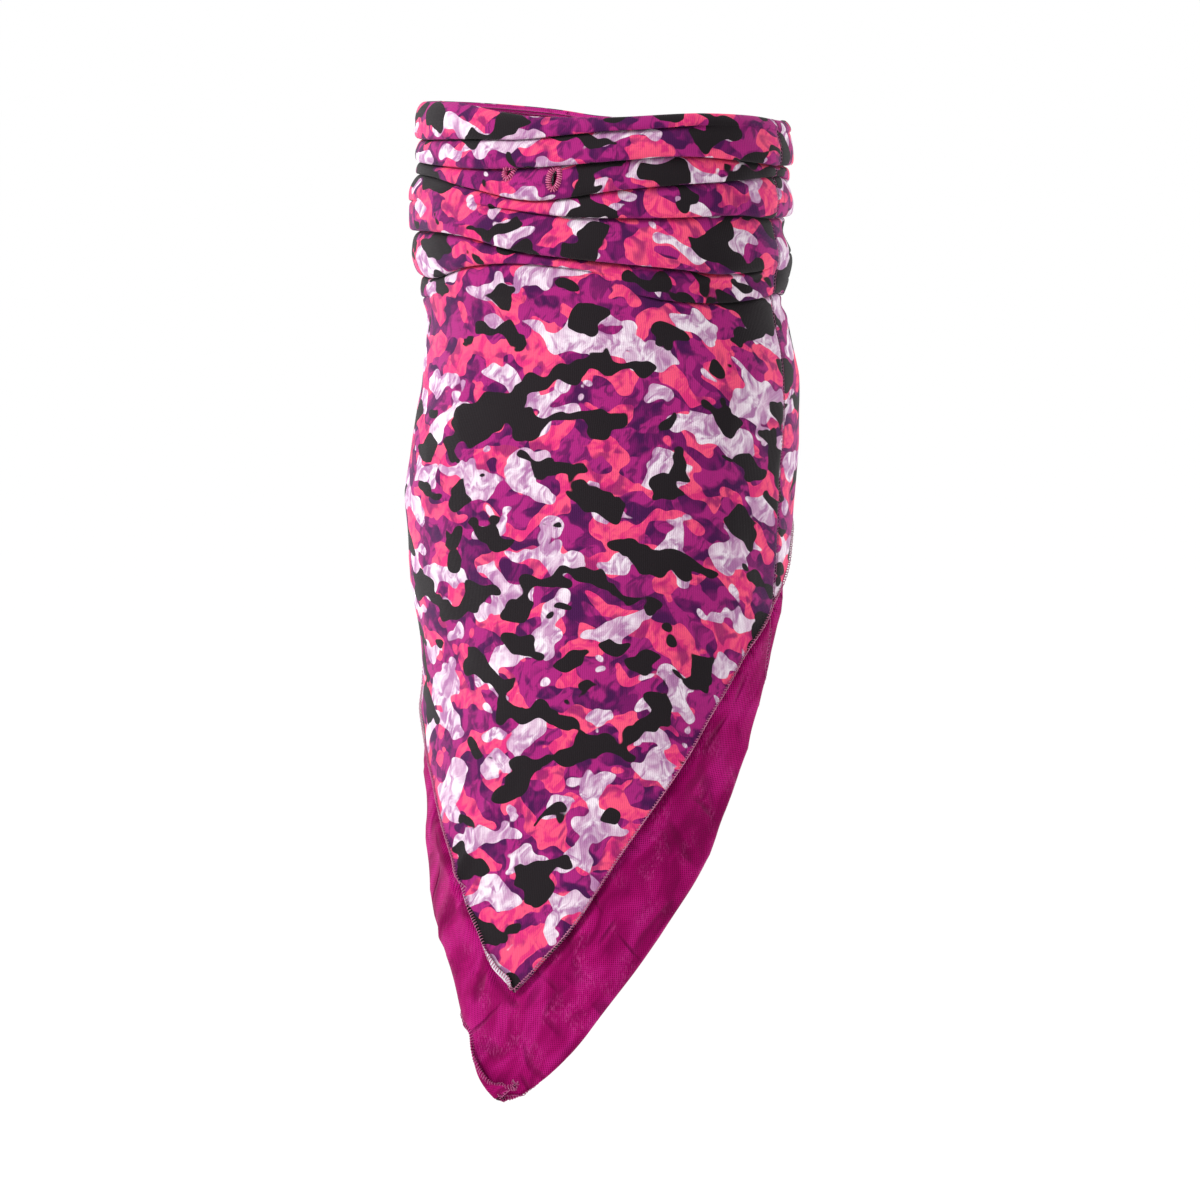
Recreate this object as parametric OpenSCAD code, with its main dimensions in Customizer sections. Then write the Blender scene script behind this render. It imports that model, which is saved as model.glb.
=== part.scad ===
// Neck gaiter: two knitted tubes, one inside the other, gathered at the neck, each cut to a
// V-shaped bib that hangs over the chest.
// +Z is up, the front faces -Y and the wearer's left is +X. The origin is the centre of the
// neck opening, level with the top rim. All sizes are in millimetres.

/* [Tube] */
// Half width of the tube, from its middle to a side seam
half_width = 90; // [84:1:96]
// Half depth of the tube, from its middle to the front
half_depth = 70; // [64:1:76]
// Length of the tube at the back
back_length = 173; // [160:1:190]
// Thickness of one knitted layer
cloth = 0.8; // [0.6:0.1:1]
// Air between the outer layer and the lining
layer_gap = 0.6; // [0.5:0.1:0.8]

/* [Gathered band] */
// Height of the gathered band under the rim
band_height = 88; // [76:1:100]
// Number of rolls that the gathered cloth makes
rolls = 7; // [5:1:8]
// How far a roll puffs out from its creases
roll_puff = 3.6; // [2:0.2:4]

/* [Bib] */
// Depth of the outer layer's point below the rim
bib_length = 396; // [360:1:410]
// How much lower the lining's point hangs
border_width = 52; // [30:1:60]
// How far the bib's point swings forward of the tube
bib_swing = 12; // [0:1:20]

/* [Trim] */
// Height of the overlocked edge along a hem
overlock_height = 3.2; // [2.4:0.2:4]
// Width of a side seam's row of stitches
seam_width = 2.4; // [1.8:0.2:3]
// Height of the turned and stitched top rim
rim_height = 3; // [2:0.5:4]
// Outer width and height of an embroidered eyelet
eyelet_size = [7.5, 12.5]; // [6:0.5:14]
// Width of the satin stitch around an eyelet
satin_width = 2; // [1.5:0.1:2.4]
// Distance between the two eyelets
eyelet_pitch = 25; // [20:1:32]
// Depth of the eyelets below the rim
eyelet_depth = 33.5; // [30:0.5:38]

/* [Hidden] */

// Colours
print_pink = "#E0477F";
print_plum = "#7C2470";
magenta = "#B01874";
magenta_dark = "#8A0F5A";
thread_pink = "#D9559C";
label_white = "#E9E4E8";

// Offsets from the outer layer's outer face, inwards
lining_face = cloth + layer_gap;
inner_face = 2 * cloth + layer_gap;
thread_proud = 0.25;
satin_proud = 0.7;

// Creases, in rolls: where they lie at the front centre and how far they slant at the sides
crease_shift = 0.885;
crease_slant = 0.3;

// Girth of the tube, as shares of the half width and depth
band_girth = 0.965;
waist_girth = 0.905;
bulge_girth = 0.13;
bulge_depth = 178;
bulge_spread = 58;

// Hem line: its slope down the bib, where the slope starts and how softly it turns level
bib_slope = 1.35;
bib_reach = (bib_length - back_length) / bib_slope;
hem_softness = 12;

// The sides of both points are cut a little convex, the lining's more than the outer layer's
outer_belly = 7;
lining_belly = 18;
belly_span = 140;

// Grid of a panel: columns across half the tube, rows in a roll and rows below the band
columns = 20;
rows_per_roll = 4;
band_rows = rolls * rows_per_roll;
bib_rows = 10;
seam_angle = 90 * (seam_width / 2) / 110;
eyelet_row = round(band_rows * (eyelet_depth - 7) / (band_height - 7));

// Angles of a ring's columns: those of the front panel, then those of the back panel
ring_angles = [for (middle = [0, 180], i = [-columns / 2 : columns / 2])
    middle + i * (180 - 2 * seam_angle) / columns];

function ease(from, to, x) =
    let (k = min(1, max(0, (x - from) / (to - from))))
    k * k * (3 - 2 * k);
function hump(x, centre, spread) = exp(-pow((x - centre) / spread, 2));
function arch(x, span) = sin(180 * min(1, x / span));
function blend(a, b, k) = a + (b - a) * k;

// Distance along the cloth from the front centre, at an angle round the tube
function along(t) =
    let (s = abs(t > 180 ? t - 360 : t), mean = (half_width + half_depth) / 2)
    mean * s * PI / 180 + (half_width - half_depth) / 4 * sin(2 * s);

// Depth of each hem below the rim, at an angle round the tube
function outer_hem(t) =
    back_length + bib_slope * hem_softness * ln(1 + exp((bib_reach - along(t)) / hem_softness))
    + outer_belly * arch(along(t), belly_span);
function lining_hem(t) =
    outer_hem(t) + border_width * (1 - ease(95, 150, along(t)))
    + lining_belly * arch(along(t), belly_span);

// The rim dips a little at the front
function rim_depth(t) = 2 * (1 + cos(t));

// Girth at a depth: the band, the waist under it, the bulge and the narrowing bib
function girth(d) =
    blend(band_girth, waist_girth + bulge_girth * hump(d, bulge_depth, bulge_spread),
          ease(band_height - 8, band_height + 8, d));

// Rolls puff out between slanting creases
function puff(d, t) =
    roll_puff * abs(sin(180 * (d * rolls / band_height + crease_shift + crease_slant * sin(t))))
    * (1 - ease(band_height - 6, band_height, d));

// A point of the cloth at an angle and depth, some way inside the outer face
function place(t, d, inset) =
    let (
        out_x = half_depth * sin(t),
        out_y = -half_width * cos(t),
        out = (puff(d, t) - inset) / norm([out_x, out_y]),
        swing = ease(220, bib_length + border_width, d) * bib_swing
    )
    [
        girth(d) * half_width * sin(t) + out * out_x - swing * 0.7,
        -girth(d) * half_depth * cos(t) + out * out_y - swing,
        -d
    ];

// Depths of a grid's rows, from a panel's top to its hem line
function panel_depth(t, row, top, hem) =
    row <= band_rows
        ? blend(rim_depth(t) + top, band_height, row / band_rows)
        : blend(band_height, hem, (row - band_rows) / bib_rows);

// A closed sheet between two grids of points with columns to the right and rows downwards
module sheet(outside, inside, last_column, last_row) {
    n = last_row + 1;
    far = len(outside);
    quads = concat(
        [for (i = [0 : last_column - 1], j = [0 : last_row - 1])
            [i * n + j, (i + 1) * n + j, (i + 1) * n + j + 1, i * n + j + 1]],
        [for (i = [0 : last_column - 1], j = [0 : last_row - 1])
            [far + i * n + j, far + i * n + j + 1, far + (i + 1) * n + j + 1, far + (i + 1) * n + j]],
        [for (i = [0 : last_column - 1])
            [i * n, far + i * n, far + (i + 1) * n, (i + 1) * n]],
        [for (i = [0 : last_column - 1])
            [i * n + last_row, (i + 1) * n + last_row, far + (i + 1) * n + last_row, far + i * n + last_row]],
        [for (j = [0 : last_row - 1])
            [far + j, j, j + 1, far + j + 1]],
        [for (j = [0 : last_row - 1], k = last_column * n)
            [k + j, far + k + j, far + k + j + 1, k + j + 1]]
    );
    polyhedron(
        points = concat(outside, inside),
        faces = [for (q = quads, half = [[0, 1, 2], [0, 2, 3]]) [for (c = half) q[c]]]
    );
}

// A closed ring of cloth round the whole tube, between two insets, with its rows' depths at
// each of the ring's angles
module ring(outer_inset, inner_inset, depths) {
    count = len(ring_angles);
    last = len(depths[0]) - 1;
    n = last + 1;
    far = count * n;
    quads = concat(
        [for (i = [0 : count - 1], j = [0 : last - 1], k = (i + 1) % count)
            [i * n + j, k * n + j, k * n + j + 1, i * n + j + 1]],
        [for (i = [0 : count - 1], j = [0 : last - 1], k = (i + 1) % count)
            [far + i * n + j, far + i * n + j + 1, far + k * n + j + 1, far + k * n + j]],
        [for (i = [0 : count - 1], k = (i + 1) % count)
            [i * n, far + i * n, far + k * n, k * n]],
        [for (i = [0 : count - 1], k = (i + 1) % count)
            [i * n + last, k * n + last, far + k * n + last, far + i * n + last]]
    );
    polyhedron(
        points = [for (inset = [outer_inset, inner_inset], i = [0 : count - 1], j = [0 : last])
            place(ring_angles[i], depths[i][j], inset)],
        faces = [for (q = quads, half = [[0, 1, 2], [0, 2, 3]]) [for (c = half) q[c]]]
    );
}

// A point on a panel's grid: the angle lies a share of the way across, and rows count from the rim
function panel_point(t, row, inset, lining) =
    let (hem = (lining ? lining_hem(t) : outer_hem(t)))
    place(t, panel_depth(t, row, rim_height, hem - overlock_height), inset);

// A panel of cloth between two angles, from under the rim to just above its overlocked hem
module panel(from, to, inset, across, lining) {
    function grid(extra) = [for (i = [0 : across], row = [0 : band_rows + bib_rows])
        panel_point(blend(from, to, i / across), row, inset + extra, lining)];
    sheet(grid(0), grid(cloth), across, band_rows + bib_rows);
}

// An overlocked hem: thread wrapped over the cut edge, a little prouder than the cloth
module overlock(inset, lining) {
    depths = [for (t = ring_angles)
        let (hem = (lining ? lining_hem(t) : outer_hem(t)))
        [hem - overlock_height, hem - overlock_height / 2, hem]];
    ring(inset - thread_proud, inset + cloth + thread_proud, depths);
}

// A patch of cloth at the front of the band, on the same grid as the outer front panel
module front_patch(half_columns, first_row, last_row, outer_inset, inner_inset) {
    column_angle = 2 * (90 - seam_angle) / columns;
    function grid(inset) = [for (i = [-half_columns : half_columns], row = [first_row : last_row])
        panel_point(i * column_angle, row, inset, false)];
    sheet(grid(outer_inset), grid(inner_inset), 2 * half_columns, last_row - first_row);
}

// A tall oval that runs through the front of the tube
module oval_through(x, size) {
    translate([x, -half_depth * 0.8, -eyelet_depth])
        rotate([90, 0, 0])
            linear_extrude(height = half_depth * 0.5)
                hull()
                    for (side = [-1, 1])
                        translate([0, side * (size[1] - size[0]) / 2])
                            circle(d = size[0], $fn = 32);
}

// Satin stitch round one eyelet, standing proud of the outer layer
module eyelet(x) {
    color(thread_pink)
        intersection() {
            front_patch(3, eyelet_row - 3, eyelet_row + 3, -satin_proud, cloth);
            difference() {
                oval_through(x, eyelet_size);
                oval_through(x, eyelet_size - [2, 2] * satin_width);
            }
        }
}

module outer_front_panel() {
    color(print_pink)
        difference() {
            panel(-90 + seam_angle, 90 - seam_angle, 0, columns, false);
            for (side = [-1, 1])
                oval_through(side * eyelet_pitch / 2, eyelet_size);
        }
}

module outer_back_panel() {
    color(print_plum)
        panel(90 + seam_angle, 270 - seam_angle, 0, columns, false);
}

module lining_front_panel() {
    color(magenta)
        panel(-90 + seam_angle, 90 - seam_angle, lining_face, columns, true);
}

module lining_back_panel() {
    color(magenta)
        panel(90 + seam_angle, 270 - seam_angle, lining_face, columns, true);
}

// A side seam: the row of stitches that closes the gap between a front and a back panel
module side_seam(middle, inset, lining, tint) {
    color(tint)
        panel(middle - seam_angle, middle + seam_angle, inset, 1, lining);
}

module outer_left_seam() {
    side_seam(90, 0, false, thread_pink);
}

module outer_right_seam() {
    side_seam(-90, 0, false, thread_pink);
}

module lining_left_seam() {
    side_seam(90, lining_face, true, magenta_dark);
}

module lining_right_seam() {
    side_seam(-90, lining_face, true, magenta_dark);
}

// The rim joins both layers, so it spans them and the air between them
module top_rim_seam() {
    color(print_pink)
        ring(0, inner_face, [for (t = ring_angles) [rim_depth(t), rim_depth(t) + rim_height]]);
}

module outer_hem_overlock() {
    color(thread_pink)
        overlock(0, false);
}

module lining_hem_overlock() {
    color(magenta_dark)
        overlock(lining_face, true);
}

module left_eyelet() {
    eyelet(eyelet_pitch / 2);
}

module right_eyelet() {
    eyelet(-eyelet_pitch / 2);
}

// Thin stabiliser between the layers that the eyelets are stitched to
module eyelet_backing() {
    color(label_white)
        difference() {
            front_patch(3, eyelet_row - 3, eyelet_row + 3, cloth + 0.1, cloth + 0.4);
            for (side = [-1, 1])
                oval_through(side * eyelet_pitch / 2, eyelet_size - [2, 2] * satin_width);
        }
}

// A blank label that hangs inside, beside the left side seam
module care_label() {
    label_turn = 12;
    label_top = 118;
    label_height = 34;
    across = 3;
    down = 6;
    function grid(inset) = [for (i = [0 : across], j = [0 : down])
        place(94 + label_turn * i / across, label_top + label_height * j / down, inset)];
    color(label_white)
        sheet(grid(inner_face + 0.2), grid(inner_face + 0.6), across, down);
}

outer_front_panel();
outer_back_panel();
lining_front_panel();
lining_back_panel();
outer_left_seam();
outer_right_seam();
lining_left_seam();
lining_right_seam();
top_rim_seam();
outer_hem_overlock();
lining_hem_overlock();
left_eyelet();
right_eyelet();
eyelet_backing();
care_label();
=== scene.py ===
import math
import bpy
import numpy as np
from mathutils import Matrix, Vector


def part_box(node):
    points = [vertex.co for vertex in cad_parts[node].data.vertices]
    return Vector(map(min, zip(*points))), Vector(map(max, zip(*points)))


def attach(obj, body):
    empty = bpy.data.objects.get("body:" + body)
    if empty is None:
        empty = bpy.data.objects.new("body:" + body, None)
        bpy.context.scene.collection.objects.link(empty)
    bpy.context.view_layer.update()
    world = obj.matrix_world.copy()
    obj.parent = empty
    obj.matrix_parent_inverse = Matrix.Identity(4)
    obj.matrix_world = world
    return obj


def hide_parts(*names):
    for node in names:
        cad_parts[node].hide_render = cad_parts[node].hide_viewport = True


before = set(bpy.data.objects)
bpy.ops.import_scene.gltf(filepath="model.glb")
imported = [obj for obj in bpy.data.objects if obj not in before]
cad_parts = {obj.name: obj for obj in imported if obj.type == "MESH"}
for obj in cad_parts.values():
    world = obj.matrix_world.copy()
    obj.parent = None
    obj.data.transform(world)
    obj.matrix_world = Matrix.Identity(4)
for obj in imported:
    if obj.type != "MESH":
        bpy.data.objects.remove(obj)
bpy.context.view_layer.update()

# Neck gaiter: two knitted layers gathered at the neck and cut to a V bib. The cloth is worked out
# here in millimetres, on a grid of columns round the tube and rows down it, and each grid keeps its
# flat cloth coordinates as the UV map "cloth". Angles are in degrees, 0 at the front centre (-Y) and
# 90 at +X. "out" is a distance out of the tube's own line and "depth" a distance below its rim.

# ---------------- sizes, in millimetres
MM = 0.001


def node_box(name):
    """A CAD node's lowest and highest corner, in millimetres."""
    low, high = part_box(name)
    return np.array(low) / MM, np.array(high) / MM


RIM_LOW, RIM_HIGH = node_box("top_rim_seam")
HALF_WIDTH, HALF_DEPTH, _ = (RIM_HIGH - RIM_LOW) / 2
OUTER_LOW, OUTER_HIGH = node_box("outer_hem_overlock")
LINING_LOW, _ = node_box("lining_hem_overlock")
EYELET_LOW, EYELET_HIGH = node_box("left_eyelet")
BACKING_LOW, BACKING_HIGH = node_box("eyelet_backing")
LABEL_LOW, LABEL_HIGH = node_box("care_label")

OVERLOCK_HEIGHT = 3.2  # of the overlocked edge
BACK_LENGTH = -OUTER_HIGH[2] + OVERLOCK_HEIGHT  # depth of the hem at the back
BIB_LENGTH = -OUTER_LOW[2]  # depth of the outer layer's point
BORDER_WIDTH = -LINING_LOW[2] - BIB_LENGTH  # how much lower the lining's point hangs
BAND_HEIGHT = 88  # depth of the gathered band
CLOTH = 0.55  # thickness of one layer
LAYER_STEP = 1.3  # from the outer layer's face to the lining's

# The hem line on the flat cloth, by distance from the front centre. A hump is (height, centre, spread)
BIB_SLOPE = 1.35
BIB_REACH = (BIB_LENGTH - BACK_LENGTH) / BIB_SLOPE
HEM_SOFTNESS = 12  # how far the slope takes to turn level
OUTER_BELLY = 7  # how far each layer's V bows out between its point and the back
LINING_BELLY = 18
BELLY_SPAN = 140
BORDER_FADE = (95, 150)  # where the lining's border narrows to nothing
SHARED_UNEVEN = ((-6, -50, 22),)
OUTER_UNEVEN = ((6.4, 27, 17), (1.2, 9, 6), (2.6, -13, 6), (-1.2, -3, 4), (-9.4, 100, 36))
LINING_UNEVEN = ((13, 130, 24), (4, 28, 16), (-0.8, 4.5, 3), (-2.7, 0, 3), (-1.0, -6, 12), (-7.5, -27, 8))

# How the tube hangs, by depth: its girth as a share of the CAD rim's, and how it leans and swings
BAND_GIRTH = 0.965
BIB_GIRTH = 0.905
BIB_BULGE = ((0.104, 178, 80),)
LEAN = ((1.4, 190, 50), (2.6, 52, 20), (-3.8, 122, 30))  # towards -X
POINT_LEAN = 3.6
POINT_LEAN_SPAN = (412, 446)
POINT_SWING = 12  # forward, and a share of it to -X
SWING_START = 220
SWING_ASIDE = 0.7

# Depth of the rim round the opening, as (angle, depth)
RIM_LINE = ((-180, 7), (-155, 6), (-144, 3.6), (-124, 1.0), (-94, -0.9), (-67, -1.3), (-34, -2), (-11, 2.2),
            (3, 4), (20, 4), (53, 2.2), (75, 3.4), (98, 6.2), (115, 6.5), (150, 7.5))

# The gathered band
TUCK_DEPTH = 5.2  # how far a full crease goes in behind the tube's own line
ROLL_PUFF = 3.2  # how far the rolls between creases stand out
LINING_BEHIND = 3.3  # the lining there, in from the tube's own line
LINING_TUCK = 3.0  # and how much further in behind a full crease

# Creases of the band, from the top down. Each is a ring of (angle, depth, strength)
CREASES = (
    ((-180, 15, .8), (-120, 14, .9), (-67, 15, 1), (-9, 15, .9), (17, 11, 1), (44, 6.5, .8), (62, 5, 0),
     (105, 6, 0), (140, 12, .7)),
    ((-180, 27, .9), (-120, 24, 1), (-65, 25, 1), (-19, 28, .9), (0, 26.5, 1), (29, 23.5, .9), (44, 22, .9),
     (97, 27, 1), (140, 27, 1)),
    ((-180, 38, .8), (-120, 36, .9), (-67, 31.5, .7), (-42, 32, .9), (-21, 36.5, 1), (2, 41.5, 1),
     (27, 37, 1), (64, 33, .9), (94, 31.5, .5), (130, 37, .9)),
    ((-180, 50, .9), (-120, 48, .8), (-67, 44, .3), (-30, 42, 0), (-8, 45.5, .5), (8, 48, .9), (31, 48.5, 1),
     (70, 48.5, 1), (87, 50, 1), (130, 50, 1)),
    ((-180, 62, .9), (-120, 60, 1), (-67, 57, 1), (-21, 59, 1), (-6, 63.5, 1), (19, 67.5, 1), (47, 71.5, 1),
     (62, 74, .9), (80, 73, .2), (95, 68, 0), (130, 64, .8)),
    ((-180, 75, .9), (-120, 74, 1), (-67, 77, 1), (-50, 77.5, 1), (-24, 71.5, 1), (-6, 69.5, .9),
     (12, 71.5, .5), (30, 76, 0), (100, 77, 0), (140, 76, .8)),
    ((-180, 86, .7), (-120, 86, .8), (-67, 87, .3), (-30, 85, 0), (28, 83, 0), (42, 86, .7), (62, 87.5, 1),
     (86, 85, 1), (96, 83.5, 1), (130, 86, .9)),
)
HANGING_FOLDS = ((2.4, 9, 85, 21), (1.5, 17, 48, 22))  # (height, features to a turn, size down, seed)
ROLL_WRINKLES = ((0.8, 30, 7, 31), (0.5, 64, 5, 32))
PINCH_TURN = (116, 20)  # where its rolls are drawn in behind the left side: angle and spread
PINCH_DEPTHS = ((4, 57, 6), (3, 90, 6))
ROWS_TO_FIRST_ROLL = 17  # rows of a column from its rim to the middle of the first roll
ROWS_PER_ROLL = 22  # and from each roll's middle to the next

# Numbers of columns and rows of the cloth grids
FRONT_COLUMNS = 164
LINING_COLUMNS = 200
LINING_CLOSER = 0.55  # how much closer together the lining's columns are at its folded point
BACK_COLUMNS = 130
BIB_ROWS = 92
BACK_ROWS = 30
EDGE_ROWS = 26
EDGE_STEP = 0.8


# ---------------- the tube's own shape
def ease(start, end, x):
    """0 before start, 1 after end, and smooth between."""
    k = np.clip((x - start) / (end - start), 0, 1)
    return k * k * (3 - 2 * k)


def between(start, full, fade, end, x):
    """1 from full to fade, and 0 before start and after end."""
    return ease(start, full, x) * (1 - ease(fade, end, x))


def hump(x, centre, spread):
    return np.exp(-((x - centre) / spread) ** 2)


def humps(x, table):
    return sum(height * hump(x, centre, spread) for height, centre, spread in table)


def along(angle):
    """Distance round the cloth from the front centre, which grows with the angle."""
    turn = np.radians(angle)
    return (HALF_WIDTH + HALF_DEPTH) / 2 * turn + (HALF_WIDTH - HALF_DEPTH) / 4 * np.sin(2 * turn)


ANGLE_TABLE = np.linspace(-360, 360, 1441)
ALONG_TABLE = along(ANGLE_TABLE)
QUARTER = along(90.0)  # from the front centre to a side seam


def angle_at(distance):
    return np.interp(distance, ALONG_TABLE, ANGLE_TABLE)


def from_front(angle):
    """Distance round the cloth from the front centre, the shorter way; less than 0 towards -X."""
    return along((np.asarray(angle) + 180) % 360 - 180)


def belly(s, size):
    return size * np.sin(math.pi * np.minimum(1, np.abs(s) / BELLY_SPAN))


def hem_cut(s):
    """The hem line that both layers start from: level behind, and a soft V in front."""
    ramp = BIB_SLOPE * HEM_SOFTNESS * np.log1p(np.exp((BIB_REACH - np.abs(s)) / HEM_SOFTNESS))
    return BACK_LENGTH + ramp + belly(s, OUTER_BELLY) + humps(s, SHARED_UNEVEN)


def outer_hem(angle):
    s = from_front(angle)
    return hem_cut(s) + humps(s, OUTER_UNEVEN) + 1.3 * bumps(angle, 0, 26, 50, 36)


def lining_hem(angle):
    s = from_front(angle)
    border = BORDER_WIDTH * (1 - ease(*BORDER_FADE, np.abs(s))) + belly(s, LINING_BELLY)
    return hem_cut(s) + border + humps(s, LINING_UNEVEN) + 0.8 * bumps(angle, 0, 24, 50, 37)


def around(ring, angle, value):
    """A closed ring of knots (angle, ...) read at these angles."""
    knots = np.array(ring, float)
    turn = np.zeros(knots.shape[1])
    turn[0] = 360
    knots = np.vstack([knots[-2:] - turn, knots, knots[:2] + turn])
    return smooth_through((angle + 180) % 360 - 180, knots[:, 0], knots[:, value])


def rim_depth(angle):
    return around(RIM_LINE, angle, 1)


def girth_share(depth):
    bib = BIB_GIRTH + humps(depth, BIB_BULGE)
    return BAND_GIRTH + (bib - BAND_GIRTH) * ease(BAND_HEIGHT - 22, BAND_HEIGHT + 2, depth)


def place(angle, out, depth):
    """Points of the cloth from an angle round the tube, a distance out and a depth."""
    turn = np.radians(angle)
    normal_x, normal_y = HALF_DEPTH * np.sin(turn), -HALF_WIDTH * np.cos(turn)
    reach = out / np.hypot(normal_x, normal_y)
    swing = POINT_SWING * ease(SWING_START, BIB_LENGTH + BORDER_WIDTH, depth)
    lean = humps(depth, LEAN) + POINT_LEAN * ease(*POINT_LEAN_SPAN, depth)
    share = girth_share(depth)
    return np.stack([
        share * HALF_WIDTH * np.sin(turn) + reach * normal_x - SWING_ASIDE * swing - lean,
        -share * HALF_DEPTH * np.cos(turn) + reach * normal_y - swing,
        -depth + 0 * turn,
    ], axis=-1)


# ---------------- wrinkles
def spline_weight(x):
    """Cubic B-spline weight of a lattice point at distance x."""
    x = np.abs(x)
    near = (4 - 6 * x ** 2 + 3 * x ** 3) / 6
    far = np.clip(2 - x, 0, None) ** 3 / 6
    return np.where(x < 1, near, far)


LATTICE = 64  # random values that the noise has before it repeats


def lattice_noise(x, y, seed, repeat=LATTICE):
    """Smooth noise, about -1 to 1, with one feature to a unit; it repeats along x and y."""
    table = np.random.default_rng(seed).uniform(-1, 1, (repeat, LATTICE))
    x, y = np.broadcast_arrays(x, y)
    i, j = np.floor(x).astype(int), np.floor(y).astype(int)
    total = 0
    for di in (-1, 0, 1, 2):
        for dj in (-1, 0, 1, 2):
            weight = spline_weight(x - i - di) * spline_weight(y - j - dj)
            total = total + weight * table[(i + di) % repeat, (j + dj) % LATTICE]
    return total * 1.5


def bumps(angle, depth, cells, size, seed):
    """Noise round the tube: cells features to a turn, each size down."""
    down = np.asarray(depth) / size + LATTICE / 2
    return lattice_noise(np.asarray(angle) % 360 / 360 * cells, down, seed, cells)


def wrinkles(angle, depth, table):
    return sum(height * bumps(angle, depth, *noise) for height, *noise in table)


def ridges(noise):
    """Sharp-backed ridges, 0 to 1, as in cloth that has been crumpled."""
    return 1 - np.abs(noise) ** 0.75


def bib_relief(angle, depth):
    """Hanging folds and crumples that both layers share below the gathered band."""
    slant = angle + depth * 0.16
    lean = angle - depth * 0.30
    folds = wrinkles(slant, depth, HANGING_FOLDS)
    crumple = 0.7 * bumps(lean, depth, 42, 15, 23) + 1.0 * ridges(bumps(lean, depth, 24, 26, 24))
    crumple = crumple + 0.25 * bumps(slant, depth, 64, 8, 27)
    left_line = 1.5 * hump(from_front(angle) + 0.62 * (depth - 330), -30, 4.5) * ease(280, 310, depth)
    return ease(BAND_HEIGHT + 2, BAND_HEIGHT + 36, depth) * (folds + crumple + left_line)


def border_relief(angle, depth):
    """Long folds down the lining's free border, and short dents where the printed hem draws it in."""
    s = from_front(angle)
    below = depth - outer_hem(angle)
    right = 0.5 + 0.5 * np.tanh(s / 14)
    total = 0
    for share, lean, seed in ((right, 1, 25), (1 - right, -1, 26)):
        down_hem = depth * 0.8 - lean * s * 0.6
        off_hem = depth * 0.6 + lean * s * 0.8
        fold = ridges(lattice_noise(off_hem / 17 + down_hem / 90, down_hem / 46, seed))
        dent = ridges(lattice_noise(down_hem / 13, off_hem / 26, seed + 10))
        total = total + share * (2.8 * fold + 2.2 * dent * (1 - 0.7 * ease(6, 30, below)) - 2.6)
    total = np.minimum(total, 9 * ease(3, 16, below) - 0.4)
    room_for_hem = 1.7 * hump(below, -1, 6)
    return total * ease(-16, 4, below) - room_for_hem


def edge_ripple(angle, depth, hem, seed):
    """A slight wave along a hem."""
    return 0.5 * bumps(angle, 0, 60, 50, seed) * ease(-9, 0, depth - hem(angle))


# ---------------- the gathered band
def smooth_through(x, knots, values):
    """A curve through the knots that turns only at them."""
    steps = np.diff(values) / np.diff(knots)
    slope = np.gradient(values, knots)
    slope[1:-1][steps[:-1] * steps[1:] <= 0] = 0
    k = np.clip(np.searchsorted(knots, x) - 1, 0, len(knots) - 2)
    width = knots[k + 1] - knots[k]
    s = (x - knots[k]) / width
    return (values[k] * (1 + 2 * s) * (1 - s) ** 2 + values[k + 1] * s * s * (3 - 2 * s)
            + width * (slope[k] * s * (1 - s) ** 2 - slope[k + 1] * s * s * (1 - s)))


def crease_lines(angle):
    """Depth and strength of every crease at these angles."""
    lines = []
    for number, ring in enumerate(CREASES):
        depth = around(ring, angle, 1) + 0.7 * bumps(angle, 0, 16, 50, 40 + number)
        strength = np.clip(around(ring, angle, 2), 0, 1)
        lines.append((depth, strength * (0.9 + 0.25 * bumps(angle, 0, 13, 50, 60 + number))))
    return lines


def band_path(angle):
    """Control points (out, depth, rows to the next) down the gathered band of the outer layer."""
    rim = rim_depth(angle)
    zero = 0 * angle
    path = [
        (zero - 3.3, rim + 1.3, 3), (zero - 3.1, rim + 0.3, 3), (zero - 2.0, rim - 0.1, 3),
        (zero - 0.3, rim + 0.9, 4), (zero + 1.6, rim + 3.6, 4),
    ]
    above = rim + 3.6
    for number, (depth, strength) in enumerate(crease_lines(angle)):
        depth = np.maximum(depth, above + 2.2)
        puff = ROLL_PUFF * (0.8 + 0.35 * bumps(angle, 0, 11, 50, 80 + number))
        top = puff * np.clip((depth - above) / 12, 0.35, 1.25)
        path += [
            (top + 0.3, (above + depth) / 2 + 0.6, 6),
            (top - 0.2 * strength, depth - 0.7 + 1.5 * strength, 5),
            (top - (top + TUCK_DEPTH) * strength, depth - 0.9 * strength, 5),
            (top - 0.8 * top * strength, depth + 0.7 + 0.5 * strength, 6),
        ]
        above = depth + 0.7
    return path + [(zero + 0.6, above + 4.5, 6), (zero, above + 11, 0)]


def follow(path):
    """Out and depth of rows along straight lines between the control points, then rounded."""
    spots = [np.stack([out, depth])[..., None] for out, depth, _ in path]
    lines = []
    for (*_, rows), start, end in zip(path, spots, spots[1:]):
        share = np.arange(rows) / rows
        lines.append(start * (1 - share) + end * share)
    lines = np.concatenate(lines + spots[-1:], axis=-1)
    for _ in range(5):
        lines[..., 1:-1] = lines[..., 1:-1] / 2 + (lines[..., :-2] + lines[..., 2:]) / 4
    return lines


def lining_out(angle, depth):
    """How far out the lining lies: behind every tuck of the band, then close behind the bib."""
    band = LINING_BEHIND + 0 * depth
    for line, strength in crease_lines(angle[:, 0]):
        band = band + LINING_TUCK * strength[:, None] * hump(depth, line[:, None] - 1, 3.2)
    band = band + 0.5 * bumps(angle, depth, 34, 9, 33) * ease(2, 10, depth)
    below = ease(BAND_HEIGHT - 2, BAND_HEIGHT + 14, depth)
    return -band * (1 - below) + (bib_relief(angle, depth) - LAYER_STEP) * below


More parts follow.
